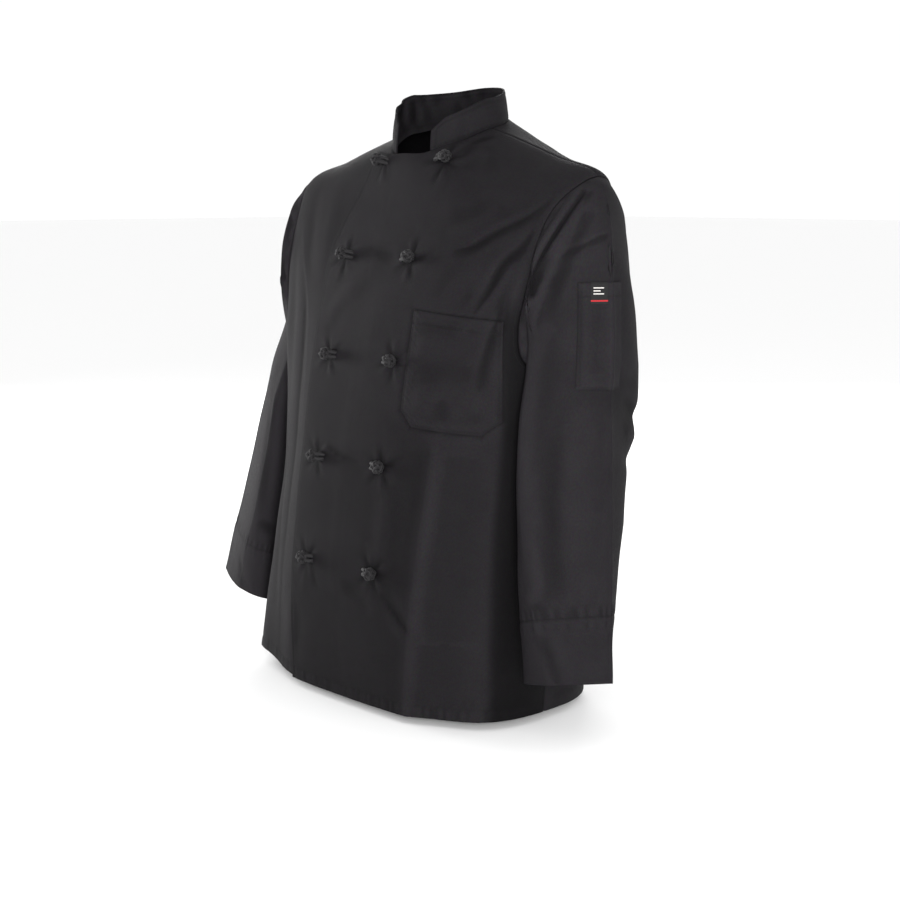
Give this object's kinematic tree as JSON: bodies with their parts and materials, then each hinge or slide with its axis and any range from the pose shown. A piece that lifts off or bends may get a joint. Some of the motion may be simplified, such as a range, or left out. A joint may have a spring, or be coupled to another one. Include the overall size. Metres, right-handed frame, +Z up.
{
  "type": "chef jacket",
  "caption": "Black double-breasted chef jacket with a stand collar, knotted cord buttons, a chest pocket and a sleeve pocket, filled out and hollow as worn.",
  "frame": {"origin": "in the middle of the neck opening, level with the nape, where the wearer's neck and shoulders carry the jacket", "axes": "+Z up, -Y to the front of the jacket, +X to the wearer's left"},
  "size_m": [0.7268, 0.3155, 0.7559],
  "materials": {
    "black_twill": "matt poly-cotton twill",
    "black_cord": "braided cotton cord",
    "woven_label": "smooth woven tape"
  },
  "bodies": {
    "root": {"left_front": "black_twill", "right_front": "black_twill", "back": "black_twill", "collar": "black_twill", "left_sleeve": "black_twill", "right_sleeve": "black_twill", "chest_pocket": "black_twill", "sleeve_pocket": "black_twill", "sleeve_label": "woven_label", "left_knot_1": "black_cord", "right_knot_1": "black_cord", "left_knot_2": "black_cord", "right_knot_2": "black_cord", "left_knot_3": "black_cord", "right_knot_3": "black_cord", "left_knot_4": "black_cord", "right_knot_4": "black_cord", "left_knot_5": "black_cord", "right_knot_5": "black_cord"}
  },
  "joints": []
}
